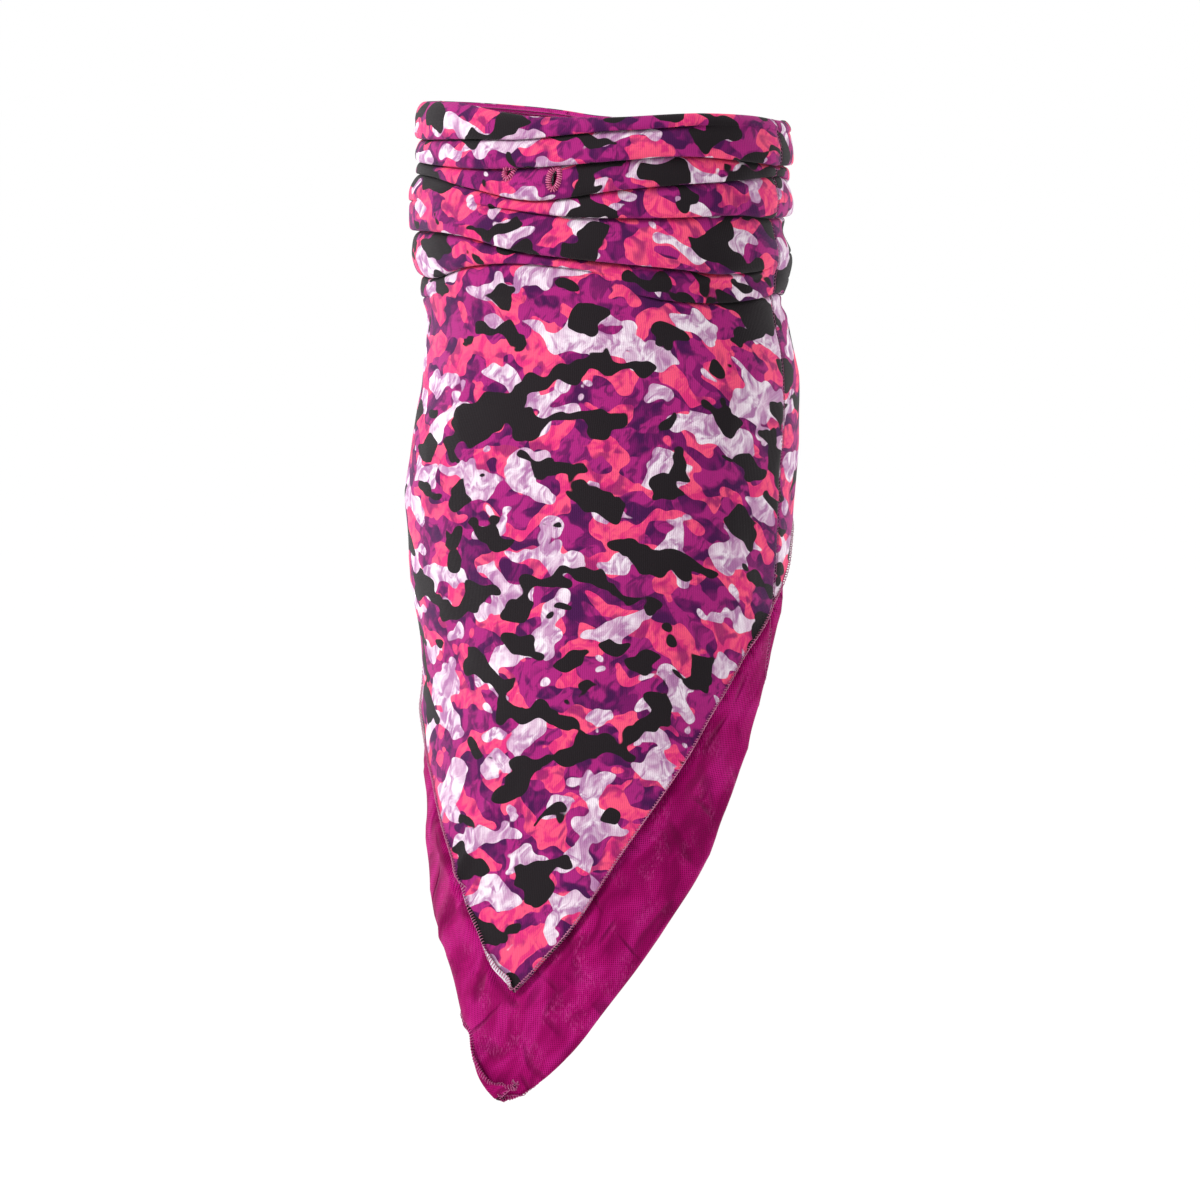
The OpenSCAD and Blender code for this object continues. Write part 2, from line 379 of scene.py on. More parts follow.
# ---------------- hems that roll and bend
def bend(margin, width, radius):
    """Cloth past a line width from its edge, bent round a radius, up to half a turn: its new margin,
    its height off the face, and the angle it has turned."""
    past = np.clip(width - margin, 0, None)
    turn = np.minimum(past / radius, math.pi)
    beyond = past - radius * turn
    on = radius * np.sin(turn) + beyond * np.cos(turn)
    height = radius * (1 - np.cos(turn)) + beyond * np.sin(turn)
    return np.where(past > 0, width - on, margin), height, turn


class Hem:
    """A hem line and how its edge lies: extra cloth rolled round a radius, to one side (1 the front,
    -1 behind), and for the lining a wider bend of the margin, its sweep."""

    def __init__(self, line, extra, radius, side, sweep=None):
        self.line, self.extra, self.radius, self.side = line, extra, radius, side
        self.sweep = sweep

    def slope(self, angle):
        """How steeply the line falls, evened out over a few millimetres."""
        s = along(angle)
        return (self.line(angle_at(s + 4)) - self.line(angle_at(s - 4))) / 8

    def cut(self, angle):
        """Depth at which the cloth itself ends, with the extra that is rolled over."""
        return self.line(angle) + self.extra(from_front(angle)) * np.hypot(1, self.slope(angle))

    def points(self, angle, out, depth):
        s, slope = along(angle), self.slope(angle)
        lean = np.hypot(1, slope)
        margin = (self.line(angle) - depth) / lean
        across = from_front(angle)
        rolled, height, _ = bend(margin, self.radius, self.radius)
        height = height * self.side(across)
        if self.sweep is not None:
            width, radius = self.sweep(across)
            rolled, back, turn = bend(rolled, width, radius)
            rolled = rolled - height * np.sin(turn)
            height = height * np.cos(turn) - back
        shift = margin - rolled
        return place(angle_at(s - slope / lean * shift), out + height, depth + shift / lean)


def outer_extra(s):
    """The outer hem curls back a little, and on the left of the point it is turned to the front."""
    return 0.7 + 2.9 * between(-22, -13, -6, 0, s)


def outer_side(s):
    return -1 + 2 * between(-42, -30, -4, 1, s)


def lining_extra(s):
    """The lining's point is folded over to the front from the left."""
    behind = 3.4 * (1 - between(-48, -38, 4, 14, s))
    return behind + 0.3 + 14.0 * between(-29, -4.5, -5.5, 0.0, s)


def lining_side(s):
    return -1 + 2 * between(-40, -34, -1, 4, s)


def lining_sweep(s):
    """Both margins of the lining bend in behind: the left one widely, the right one at its edge."""
    left = 24 * between(-165, -115, -62, -8, s)
    right = 5.5 * between(4, 30, 150, 175, s)
    return left + right + 0.01, np.where(s < 0, 24.0, 4.5)


OUTER_HEM = Hem(outer_hem, outer_extra, 0.85, outer_side)
LINING_HEM = Hem(lining_hem, lining_extra, 1.1, lining_side, lining_sweep)


# ---------------- cloth grids
def unit(vectors):
    return vectors / np.maximum(np.linalg.norm(vectors, axis=-1, keepdims=True), 1e-9)


class Grid:
    """A cloth panel: its points by column and row, their flat coordinates and their normals."""

    def __init__(self, angle, out, depth, hem=None, shift=(0.0, 0.0)):
        self.across = along(angle)
        steps = np.hypot(np.diff(out, axis=1), np.diff(depth, axis=1))
        self.length = np.hstack([np.zeros((len(out), 1)), np.cumsum(steps, axis=1)])
        self.flat = np.stack([self.across + shift[0], shift[1] - self.length], axis=-1)
        self.depth = depth
        self.points = place(angle, out, depth) if hem is None else hem.points(angle, out, depth)
        columns, rows = np.gradient(self.points, axis=0), np.gradient(self.points, axis=1)
        self.normals = unit(np.cross(rows, columns))

    def flat_area(self):
        """Area of the cloth as cut, in square metres."""
        width = np.diff(self.across[:, 0])
        length = self.length[:, -1]
        return float((width * (length[1:] + length[:-1]) / 2).sum()) * MM * MM

    def flat_size(self):
        return (float(np.ptp(self.across[:, 0])) * MM, float(self.length[:, -1].max()) * MM)

    def at(self, across, down):
        """The face's point and normal at flat coordinates."""
        column = np.interp(across, self.across[:, 0], np.arange(len(self.across)))
        first = min(int(column), len(self.across) - 2)
        found = []
        for c in (first, first + 1):
            row = np.interp(down, self.length[c], np.arange(self.length.shape[1]))
            r = min(int(row), self.length.shape[1] - 2)
            pair = np.concatenate([self.points[c, r:r + 2], self.normals[c, r:r + 2]], axis=1)
            found.append(pair[0] + (pair[1] - pair[0]) * (row - r))
        both = found[0] + (found[1] - found[0]) * (column - first)
        return both[:3], unit(both[3:])


def panel_angles(start, end, columns, closer=0.0):
    """Angles of the columns from start to end, closer together in the middle if asked."""
    share = np.linspace(-1, 1, columns + 1)
    share = share - closer * np.sin(math.pi * share) / math.pi
    first, last = along(float(start)), along(float(end))
    return angle_at((first + last) / 2 + (last - first) / 2 * share)


def rows_to_hem(start, hem, rows):
    """Depths from below start to the hem, close together at the hem."""
    edge = hem - EDGE_STEP * np.arange(EDGE_ROWS, -1, -1)[None, :]
    share = np.arange(1, rows + 1)[None, :] / (rows + 1)
    return np.hstack([start + (edge[:, :1] - start) * share, edge])


def seam_groove(angle):
    """The cloth dips at both side seams."""
    return -0.3 * hump(np.abs(from_front(angle)), QUARTER, 1.6)


def outer_grid(start, end, columns, rows, shift=(0.0, 0.0)):
    """The printed layer from one side seam to the other."""
    angle = panel_angles(start, end, columns)
    out, depth = follow(band_path(angle))
    turn = angle[:, None]
    rolls = wrinkles(turn, depth, ROLL_WRINKLES) - hump(turn, *PINCH_TURN) * humps(depth, PINCH_DEPTHS)
    out = out + rolls * ease(4, 12, depth) * (1 - ease(BAND_HEIGHT, BAND_HEIGHT + 8, depth))
    below = rows_to_hem(depth[:, -1:], OUTER_HEM.cut(turn), rows)
    depth = np.hstack([depth, below])
    out = np.hstack([out, 0 * below])
    turn = turn + 0 * depth
    out = out + bib_relief(turn, depth) + seam_groove(turn) + edge_ripple(turn, depth, outer_hem, 34)
    return Grid(turn, out, depth, OUTER_HEM, shift)


def lining_grid(start, end, columns, rows, closer=0.0):
    """The plain layer from one side seam to the other."""
    angle = panel_angles(start, end, columns, closer)[:, None]
    rim = rim_depth(angle)
    band = rim + 0.5 + (BAND_HEIGHT + 12 - rim) * np.linspace(0, 1, 84)[None, :]
    depth = np.hstack([band, rows_to_hem(band[:, -1:], LINING_HEM.cut(angle), rows)])
    turn = angle + 0 * depth
    out = lining_out(turn, depth) + seam_groove(turn) * 0.6 + border_relief(turn, depth)
    return Grid(turn, out + edge_ripple(turn, depth, lining_hem, 35), depth, LINING_HEM)


# ---------------- meshes
def grid_faces(columns, rows, keep=None):
    """Quads of a grid of points, facing out, without those where keep is false."""
    i, j = np.meshgrid(np.arange(columns - 1), np.arange(rows - 1), indexing="ij")
    corner = i * rows + j
    quads = np.stack([corner, corner + 1, corner + rows + 1, corner + rows], axis=-1)
    return (quads.reshape(-1, 4) if keep is None else quads[keep]).tolist()


def add_object(name, data):
    made = bpy.data.objects.new(name, data)
    bpy.context.scene.collection.objects.link(made)
    return made


class Parts:
    """Meshes gathered into one piece, each part with its own material."""

    def __init__(self):
        self.points, self.faces, self.flat, self.slots = [], [], [], []
        self.count = 0

    def add(self, points, faces, flat, slot=0):
        self.points.append(np.asarray(points, float).reshape(-1, 3))
        self.flat.append(np.asarray(flat, float).reshape(-1, 2))
        self.faces.extend([[corner + self.count for corner in face] for face in faces])
        self.slots.extend([slot] * len(faces))
        self.count += len(self.points[-1])

    def piece(self, name, materials):
        """The mesh object, smooth shaded, without points that no face uses."""
        points, flat = np.vstack(self.points), np.vstack(self.flat)
        used = np.zeros(len(points), bool)
        used[[corner for face in self.faces for corner in face]] = True
        renumber = np.cumsum(used) - 1
        faces = [[int(renumber[corner]) for corner in face] for face in self.faces]
        mesh = bpy.data.meshes.new(name)
        mesh.from_pydata((points[used] * MM).tolist(), [], faces)
        corners = np.empty(len(mesh.loops), dtype=np.int32)
        mesh.loops.foreach_get("vertex_index", corners)
        layer = mesh.uv_layers.new(name="cloth")
        layer.data.foreach_set("uv", (flat[used][corners] * MM).ravel().astype(np.float32))
        mesh.polygons.foreach_set("material_index", np.array(self.slots, dtype=np.int32))
        mesh.polygons.foreach_set("use_smooth", np.ones(len(faces), dtype=bool))
        for material in materials:
            mesh.materials.append(material)
        mesh.update()
        return add_object(name, mesh)


def cloth_piece(name, grid, materials, keep=None, thickness=CLOTH):
    """A grid given the cloth's thickness, with its second material on the inner face."""
    parts = Parts()
    columns, rows = grid.depth.shape
    parts.add(grid.points, grid_faces(columns, rows, keep), grid.flat)
    made = parts.piece(name, materials)
    skin = made.modifiers.new("thickness", "SOLIDIFY")
    skin.thickness = thickness * MM
    skin.offset = -1
    skin.material_offset = len(materials) - 1
    return made


def tube_faces(count, sides, closed):
    """Quads of a tube of count rings, which joins up with itself if closed."""
    faces = []
    for i in range(count if closed else count - 1):
        a, b = i * sides, (i + 1) % count * sides
        faces.extend([[a + j, b + j, b + (j + 1) % sides, a + (j + 1) % sides] for j in range(sides)])
    return faces


def distances(points):
    """How far along a line each of its points is."""
    return np.concatenate([[0], np.cumsum(np.linalg.norm(np.diff(points, axis=0), axis=1))])


def thread(points, reference, radius, sides=6, closed=False):
    """A round thread along points: its points, faces and flat coordinates. reference is never along it."""
    points = np.asarray(points)
    count = len(points)
    ahead = np.roll(points, -1, 0) - np.roll(points, 1, 0) if closed else np.gradient(points, axis=0)
    ahead = unit(ahead)
    side = unit(np.cross(ahead, reference))
    up = np.cross(side, ahead)
    turn = np.linspace(0, 2 * math.pi, sides, endpoint=False)[None, :, None]
    ring = points[:, None, :] + radius * (np.cos(turn) * side[:, None, :] + np.sin(turn) * up[:, None, :])
    faces = tube_faces(count, sides, closed)
    if not closed:
        faces.append(list(range(sides)))
        faces.append([(count - 1) * sides + j for j in reversed(range(sides))])
    length = distances(points)[:, None]
    flat = np.stack(np.broadcast_arrays(length, np.arange(sides)[None, :] * radius), axis=-1)
    return ring, faces, flat


class Edge:
    """A line along cloth, with the direction into the cloth and the face's normal at each point."""

    def __init__(self, points, normals, inside, closed=False):
        if closed:
            points, normals, inside = (np.vstack([a, a[:1]]) for a in (points, normals, inside))
        ahead = unit(np.gradient(points, axis=0))
        into = unit(inside - points)
        into = unit(into - ahead * (into * ahead).sum(1, keepdims=True))
        normal = unit(np.cross(ahead, into))
        flip = np.sign((normal * normals).sum(1, keepdims=True))
        self.values = np.hstack([points, into, normal * flip, ahead])
        self.length = distances(points)
        self.closed = closed

    def spaced(self, count):
        """Distances of count even steps along the line, without its last point if it is closed."""
        distance = np.linspace(0, self.length[-1], count + 1)
        return distance[:-1] if self.closed else distance

    def at(self, distance):
        """Points, directions into the cloth, normals and directions ahead at distances along the line."""
        rows = [np.interp(distance, self.length, column) for column in self.values.T]
        found = np.stack(rows, axis=-1)
        return found[:, :3], unit(found[:, 3:6]), unit(found[:, 6:9]), unit(found[:, 9:12])

    def wound(self, wide, thick, pitch, radius, inset=0.0, steps=9, seed=1, sides=6):
        """Thread wound round the line, as an overlock stitch: wide across the edge and thick through it."""
        turns = int(self.length[-1] / pitch)
        distance = self.spaced(turns * steps)
        points, into, normal, ahead = self.at(distance)
        turn = distance / self.length[-1] * turns * 2 * math.pi
        loose = 1 + 0.10 * lattice_noise(distance / pitch, 0 * distance, seed)
        across = (wide / 2 * np.cos(turn) * loose + inset)[:, None]
        through = (thick / 2 * np.sin(turn) - CLOTH / 2)[:, None]
        slack = (0.18 * pitch * lattice_noise(distance / pitch + 7, 0 * distance + 5, seed))[:, None]
        line = points + into * across + normal * through + ahead * slack
        return thread(line, ahead, radius, sides, self.closed)

    def run(self, inset, lift, stitch, radius, sway=0.0, sides=6):
        """A line of running stitches on the face, which dip into the cloth between one and the next."""
        count = int(self.length[-1] / stitch)
        distance = self.spaced(count * 6)
        points, into, normal, _ = self.at(distance)
        phase = distance / self.length[-1] * count * math.pi
        rise = (lift * (np.abs(np.sin(phase)) - 0.35))[:, None]
        across = (inset + sway * np.sin(2 * phase))[:, None]
        return thread(points + into * across + normal * rise, normal, radius, sides, self.closed)


def hem_edge(*grids):
    """The whole hem of a layer, from its front and back panels."""
    hems = [(grid.points[:-1, -1], grid.normals[:-1, -1], grid.points[:-1, -3]) for grid in grids]
    return Edge(*map(np.vstack, zip(*hems)), closed=True)


# ---------------- materials
CLOTH_LIGHT = 0.66  # share of full white that the cloths take, as the studio lights overexpose them


def srgb(red, green, blue):
    """A colour as it shows in the studio light, in display values, 0 to 255, as a linear base colour."""
    shares = (red / 255, green / 255, blue / 255)
    linear = (c / 12.92 if c <= 0.04 else ((c + 0.055) / 1.055) ** 2.4 for c in shares)
    return tuple(CLOTH_LIGHT * c for c in linear) + (1.0,)


class Shader:
    """A material's node tree, with one short call for each kind of node that the cloths use."""

    def __init__(self, name, roughness, sheen=0.0, specular=0.3):
        self.material = bpy.data.materials.new(name)
        self.material.use_nodes = True
        self.tree = self.material.node_tree
        self.surface = self.tree.nodes["Principled BSDF"]
        settings = {"Roughness": roughness, "Sheen Weight": sheen, "Sheen Roughness": 0.45,
                    "Specular IOR Level": specular}
        for socket, value in settings.items():
            self.surface.inputs[socket].default_value = value

    def put(self, socket, value):
        if isinstance(value, bpy.types.NodeSocket):
            self.tree.links.new(value, socket)
        else:
            socket.default_value = value

    def node(self, kind, inputs, **settings):
        made = self.tree.nodes.new("ShaderNode" + kind)
        for key, value in settings.items():
            setattr(made, key, value)
        for key, value in inputs.items():
            self.put(made.inputs[key], value)
        return made

    def math(self, operation, *values):
        return self.node("Math", dict(enumerate(values)), operation=operation).outputs[0]

    def vector(self, operation, a, b):
        return self.node("VectorMath", {0: a, 1: b}, operation=operation).outputs[0]

    def placed(self, vector, scale, turn=0.0, shift=(0, 0, 0)):
        settings = {"Vector": vector, "Scale": scale, "Rotation": (0, 0, turn), "Location": shift}
        return self.node("Mapping", settings).outputs[0]

    def cloth(self):
        """The flat cloth coordinates in millimetres."""
        flat = self.node("UVMap", {}, uv_map="cloth").outputs[0]
        return self.placed(flat, (1 / MM, 1 / MM, 1))

    def noise(self, vector, size, seed=0.0, detail=0.0, roughness=0.5, distortion=0.0, out="Fac"):
        """Noise with features size across, or (across, down)."""
        across, down = size if isinstance(size, tuple) else (size, size)
        spot = self.placed(vector, (1 / across, 1 / down, 1), shift=(seed * 3.7, seed * 7.3, seed * 1.9))
        settings = {"Vector": spot, "Scale": 1.0, "Detail": detail, "Roughness": roughness,
                    "Distortion": distortion}
        return self.node("TexNoise", settings).outputs[out]

    def warped(self, vector, size, reach, seed):
        """The vector pushed about by noise, reach far at most."""
        push = self.noise(vector, size, seed, out="Color")
        push = self.vector("SUBTRACT", push, (0.5, 0.5, 0.5))
        push = self.vector("MULTIPLY", push, (2 * reach, 2 * reach, 0))
        return self.vector("ADD", vector, push)

    def step(self, value, at, soft):
        """0 below at and 1 above, soft on each side."""
        settings = {"Value": value, "From Min": at - soft, "From Max": at + soft}
        return self.node("MapRange", settings, interpolation_type="SMOOTHSTEP").outputs[0]

    def part(self, share, of):
        return self.math("MULTIPLY", share, of)

    def less(self, value):
        return self.math("SUBTRACT", 1.0, value)

    def wave(self, value, length):
        """A sine wave, 0 to 1, of this length."""
        turn = self.math("SINE", self.math("MULTIPLY", value, 2 * math.pi / length))
        return self.math("MULTIPLY_ADD", turn, 0.5, 0.5)

    def axes(self, vector):
        return self.node("SeparateXYZ", {0: vector}).outputs

    def mix(self, share, a, b):
        made = self.node("Mix", {"Factor": share}, data_type="RGBA")
        self.put(made.inputs[6], a)
        self.put(made.inputs[7], b)
        return made.outputs[2]

    def shaded(self, colour, field, reach, least):
        """The colour made darker where the field is low, as painted shade in a knit's hollows: least at 0,
        and least + reach at 1.
        """
        value = self.math("MULTIPLY_ADD", field, reach, least)
        return self.node("HueSaturation", {"Color": colour, "Value": value}).outputs[0]

    def stitches(self, mm, wale, course):
        """Height, 0 to 1, of a plain knit: columns of V stitches wale wide and course high."""
        across, down, _ = self.axes(mm)
        column = self.math("FRACT", self.math("DIVIDE", across, wale))
        from_middle = self.math("ABSOLUTE", self.math("SUBTRACT", column, 0.5))
        rib = self.math("COSINE", self.math("MULTIPLY", from_middle, 2 * math.pi))
        row = self.math("ADD", self.math("DIVIDE", down, course), from_middle)
        loop = self.math("SINE", self.math("MULTIPLY", row, 2 * math.pi))
        rib = self.math("MULTIPLY_ADD", rib, 0.30, 0.5)
        return self.math("MULTIPLY_ADD", loop, 0.20, rib)

    def bump(self, height, distance, strength=1.0):
        settings = {"Height": height, "Distance": distance * MM, "Strength": strength}
        self.put(self.surface.inputs["Normal"], self.node("Bump", settings).outputs[0])

    def finish(self, colour):
        self.put(self.surface.inputs["Base Color"], colour)
        return self.material


PLUM, DARK_PLUM, LIGHT_PLUM = srgb(124, 20, 100), srgb(72, 16, 76), srgb(178, 36, 126)
CORAL, CORAL_VEIN, CORAL_SHADE = srgb(255, 88, 128), srgb(224, 48, 122), srgb(140, 26, 100)
WHITE, WHITE_VEIN, WHITE_SHADE = srgb(250, 236, 246), srgb(176, 116, 166), srgb(212, 168, 200)
BLACK = srgb(32, 26, 30)
INK_EDGE = 0.006  # how soft a blob's edge is, in its field
JERSEY_STITCH = (0.95, 0.70)  # width and height of a stitch, in millimetres
MESH_STITCH = (1.0, 0.95)


def blob_field(s, mm, size, seed):
    """A field whose high places are blobs of one size, with round fingers and narrow necks."""
    field = s.noise(s.warped(mm, 12, 6.5, seed + 1), size, seed)
    pushed = s.warped(mm, 9, 2.0, seed + 2)
    spots = s.placed(pushed, (1 / 9.5, 1 / 7.5, 1), shift=(seed * 1.3, seed * 2.1, 0))
    lobes = s.node("TexVoronoi", {"Vector": spots, "Scale": 1.0, "Smoothness": 0.35},
                   voronoi_dimensions="2D", feature="SMOOTH_F1").outputs["Distance"]
    return s.math("MULTIPLY_ADD", lobes, -0.15, s.math("ADD", field, 0.066))


def print_colour(s, mm):
    """Camouflage blobs in coral, lilac-white and black on plum, each filled with watery veins."""
    veins_at = s.placed(s.warped(mm, 10, 4, 31), (1, 1, 1), turn=0.5)
    veins = s.noise(veins_at, (4.6, 8), 5, detail=2.4, roughness=0.6, distortion=0.7)
    cloud = s.noise(s.warped(mm, 13, 5, 8), (8, 9), 12, detail=1.6, roughness=0.55, distortion=0.4)

    ground = s.mix(s.step(cloud, 0.50, 0.10), PLUM, DARK_PLUM)
    patches = s.noise(s.warped(mm, 9, 4.5, 71), (11, 8), 3, detail=0.6)
    ground = s.mix(s.part(s.step(patches, 0.490, 0.03), 0.9), ground, LIGHT_PLUM)
    ground = s.mix(s.part(s.step(veins, 0.56, 0.09), 0.7), ground, DARK_PLUM)

    coral_field = blob_field(s, mm, (17, 12), 21)
    coral = s.mix(s.step(veins, 0.52, 0.12), CORAL, CORAL_VEIN)
    coral = s.mix(s.part(s.step(cloud, 0.58, 0.07), 0.8), coral, CORAL_SHADE)
    colour = s.mix(s.step(coral_field, 0.541, INK_EDGE), ground, coral)

    white_field = blob_field(s, mm, (20, 12.5), 33)
    white = s.mix(s.step(veins, 0.50, 0.14), WHITE, WHITE_VEIN)
    white = s.mix(s.part(s.step(cloud, 0.55, 0.14), 0.6), white, WHITE_SHADE)
    colour = s.mix(s.step(white_field, 0.586, INK_EDGE), colour, white)

    black_field = blob_field(s, mm, (21, 12.5), 63)
    return s.mix(s.step(black_field, 0.597, INK_EDGE), colour, BLACK)


def printed_jersey():
    """The printed face: fine jersey with a little fluff."""
    s = Shader("printed_jersey", roughness=0.85, sheen=0.05, specular=0.10)
    mm = s.cloth()
    knit = s.stitches(mm, *JERSEY_STITCH)
    fluff = s.noise(mm, (0.5, 1.6), 44, detail=1.0)
    s.bump(s.math("MULTIPLY_ADD", fluff, 0.35, knit), 0.14, 0.8)
    # Painted shade in the knit's hollows.
    return s.finish(s.shaded(print_colour(s, mm), knit, 0.36, 0.79))


def jersey_reverse():
    """The unprinted face, with the inks showing through faintly."""
    s = Shader("jersey_reverse", roughness=0.85, sheen=0.15, specular=0.15)
    mm = s.cloth()
    knit = s.stitches(mm, *JERSEY_STITCH)
    through = s.mix(0.16, srgb(232, 222, 232), print_colour(s, mm))
    s.bump(knit, 0.16, 0.8)
    # Painted shade in the knit's hollows.
    return s.finish(s.shaded(through, knit, 0.2, 0.87))


def magenta_knit():
    """A plain fine mesh, painted lighter at the rim as painted light, with slanting bands of painted light
    and shade, its holes and pressed-in creases painted darker as painted shade, and worn places where pale
    fibres show, more of them beside a crease."""
    s = Shader("magenta_knit", roughness=0.9, sheen=0.03, specular=0.05)
    mm = s.cloth()
    knit = s.stitches(mm, *MESH_STITCH)
    cloud = s.noise(mm, (26, 34), 4, detail=2.0)
    colour = s.mix(s.step(cloud, 0.5, 0.16), srgb(160, 2, 98), srgb(182, 10, 114))
    slanting = s.placed(s.warped(mm, 16, 5, 23), (1, 1, 1), turn=0.55)
    slanting_light_and_shade = s.noise(slanting, (9, 26), 27, detail=2.0)
    # Painted light and shade: slanting soft bands, lighter where the field is high and darker where it is
    # low, as from diagonal folds.
    colour = s.mix(s.part(s.step(slanting_light_and_shade, 0.58, 0.10), 0.5), colour, srgb(212, 34, 146))
    colour = s.mix(s.step(slanting_light_and_shade, 0.42, 0.10), srgb(140, 0, 84), colour)
    # Painted light: the lining is painted lighter near its top, just inside the opening, where shade falls.
    rim = s.step(s.axes(mm)[1], -14.0, 8.0)
    colour = s.mix(s.part(rim, 0.7), colour, srgb(246, 66, 178))
    # Painted shade: the mesh's holes are painted dark, less so near the rim, which is painted lighter.
    hole = s.math("MAXIMUM", s.step(knit, 0.34, 0.18), s.part(rim, 0.65))
    colour = s.mix(hole, srgb(112, 0, 60), colour)
    both_ways = zip(creases(s, mm, 0.62, 5), creases(s, mm, -0.75, 17))
    pressed, lines = (s.math("MAXIMUM", *pair) for pair in both_ways)
    speck = s.step(s.noise(mm, (0.6, 1.8), 14, detail=1.0), 0.57, 0.08)
    worn = s.step(s.noise(mm, (11, 15), 9), 0.58, 0.08)
    pale = s.part(s.part(s.math("ADD", s.part(lines, 0.4), 0.45), speck), worn)
    # Painted shade: pressed-in creases are painted darker; the same field also dents the bump below.
    colour = s.mix(s.part(pressed, 0.55), colour, srgb(96, 0, 52))
    colour = s.mix(s.part(pale, 0.32), colour, srgb(228, 90, 170))
    s.bump(s.math("MULTIPLY_ADD", pressed, -6.0, knit), 0.20, 0.9)
    return s.finish(colour)


def creases(s, mm, turn, seed):
    """Short creases one way across the cloth: how deep in one, 0 to 1, and the line along its side."""
    turned = s.placed(s.warped(mm, 34, 3, seed), (1, 1, 1), turn=turn)
    field = s.noise(turned, (15, 62), seed, detail=0.7)
    near = s.math("ABSOLUTE", s.math("SUBTRACT", field, 0.5))
    here = s.step(s.noise(turned, (14, 26), seed + 3), 0.53, 0.08)
    from_side = s.math("ABSOLUTE", s.math("SUBTRACT", near, 0.05))
    return s.part(s.less(s.step(near, 0.034, 0.034)), here), s.less(s.step(from_side, 0.010, 0.008))


def sewing_thread(name, light, dark, roughness=0.6, sheen=0.3, specular=0.4):
    """Two-ply twisted thread; its flat coordinates run along it and round it."""
    s = Shader(name, roughness, sheen, specular)
    mm = s.cloth()
    along_thread, round_thread, _ = s.axes(mm)
    ply = s.wave(s.math("MULTIPLY_ADD", round_thread, 2.4, along_thread), 0.8)
    dye = s.noise(mm, (3.5, 1), 6, detail=1.5)
    colour = s.mix(s.step(dye, 0.5, 0.2), dark, light)
    colour = s.mix(s.part(ply, 0.5), colour, dark)
    s.bump(ply, 0.06, 0.8)
    return s.finish(colour)


def stabiliser():
    """Thin pressed fibre sheet."""
    s = Shader("stabiliser", roughness=0.9, specular=0.2)
    mm = s.cloth()
    fibres = s.noise(s.warped(mm, 3, 1.5, 2), (0.5, 3.0), 3, detail=3.0, distortion=1.5)
    crossed = s.noise(s.warped(mm, 3, 1.5, 7), (3.0, 0.5), 8, detail=3.0, distortion=1.5)
    web = s.math("MAXIMUM", fibres, crossed)
    s.bump(web, 0.15)
    return s.finish(s.mix(s.step(web, 0.55, 0.12), srgb(205, 203, 206), srgb(240, 240, 242)))


def label_tape():
    """Smooth woven tape with a fine satin rib and closed edges."""
    s = Shader("label_tape", roughness=0.45, sheen=0.1, specular=0.5)
    mm = s.cloth()
    rib = s.wave(s.axes(mm)[1], 0.35)
    slub = s.noise(mm, (7, 0.35), 5, detail=1.0)
    s.bump(s.math("MULTIPLY_ADD", slub, 0.6, rib), 0.05)
    colour = s.mix(s.step(slub, 0.5, 0.2), srgb(222, 218, 222), srgb(238, 235, 238))
    return s.finish(s.mix(s.part(rib, 0.12), colour, srgb(190, 184, 192)))


def floor_paint():
    s = Shader("floor_paint", roughness=1.0, specular=0.0)
    return s.finish((1.0, 1.0, 1.0, 1.0))


JERSEY = printed_jersey()
REVERSE = jersey_reverse()
MAGENTA = magenta_knit()
PINK_THREAD = sewing_thread("pink_thread", srgb(224, 128, 172), srgb(160, 56, 110))
MAGENTA_THREAD = sewing_thread("magenta_thread", srgb(206, 66, 148), srgb(158, 22, 104))
SEAM_THREAD = sewing_thread("seam_thread", srgb(176, 60, 128), srgb(120, 24, 92))
EYELET_THREAD = sewing_thread("eyelet_thread", srgb(240, 120, 170), srgb(196, 34, 110), 0.35, 0.0, 0.8)
PADDING_THREAD = sewing_thread("eyelet_padding", srgb(170, 16, 92), srgb(120, 4, 66), 0.5, 0.0, 0.4)
STABILISER = stabiliser()
LABEL = label_tape()


# ---------------- the pieces
def settle(piece, slot, *nodes):
    """The piece rides on the one body, and stands for its CAD nodes."""
    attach(piece, "root")
    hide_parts(*nodes)
    return piece


PRINT_PLACE = (45.0, -150.0)  # where the front panel is cut from the print
PRINT_SHIFT = (82.0, -173.0)  # and the back panel, so the print doesn't match across the side seams
front = outer_grid(-90, 90, FRONT_COLUMNS, BIB_ROWS, PRINT_PLACE)
back = outer_grid(90, 270, BACK_COLUMNS, BACK_ROWS, PRINT_SHIFT)
lining_front = lining_grid(-90, 90, LINING_COLUMNS, BIB_ROWS, LINING_CLOSER)
lining_back = lining_grid(90, 270, BACK_COLUMNS, BACK_ROWS)

EYELET_SPREAD = (EYELET_LOW[0] + EYELET_HIGH[0]) / 2  # each eyelet's distance from the centre
EYELET_ROW = ROWS_TO_FIRST_ROLL + 2 * ROWS_PER_ROLL  # they lie on the third roll
EYELET_HALF = (EYELET_HIGH - EYELET_LOW)[[0, 2]] / 2
SATIN_WIDTH = 2.3
LEFT_DROP, RIGHT_DROP = -3.0, -8.0  # below the row; the right one, on -X, is half under the fold above


def eyelet_centre(side):
    """Flat coordinates of the eyelet on +X (side 1) or -X (side -1)."""
    across = side * EYELET_SPREAD
    column = int(round(np.interp(across, front.across[:, 0], np.arange(len(front.across)))))
    drop = LEFT_DROP if side > 0 else RIGHT_DROP
    return np.array([across, front.length[column, EYELET_ROW] + drop])


EYELETS = {"left_eyelet": eyelet_centre(1), "right_eyelet": eyelet_centre(-1)}


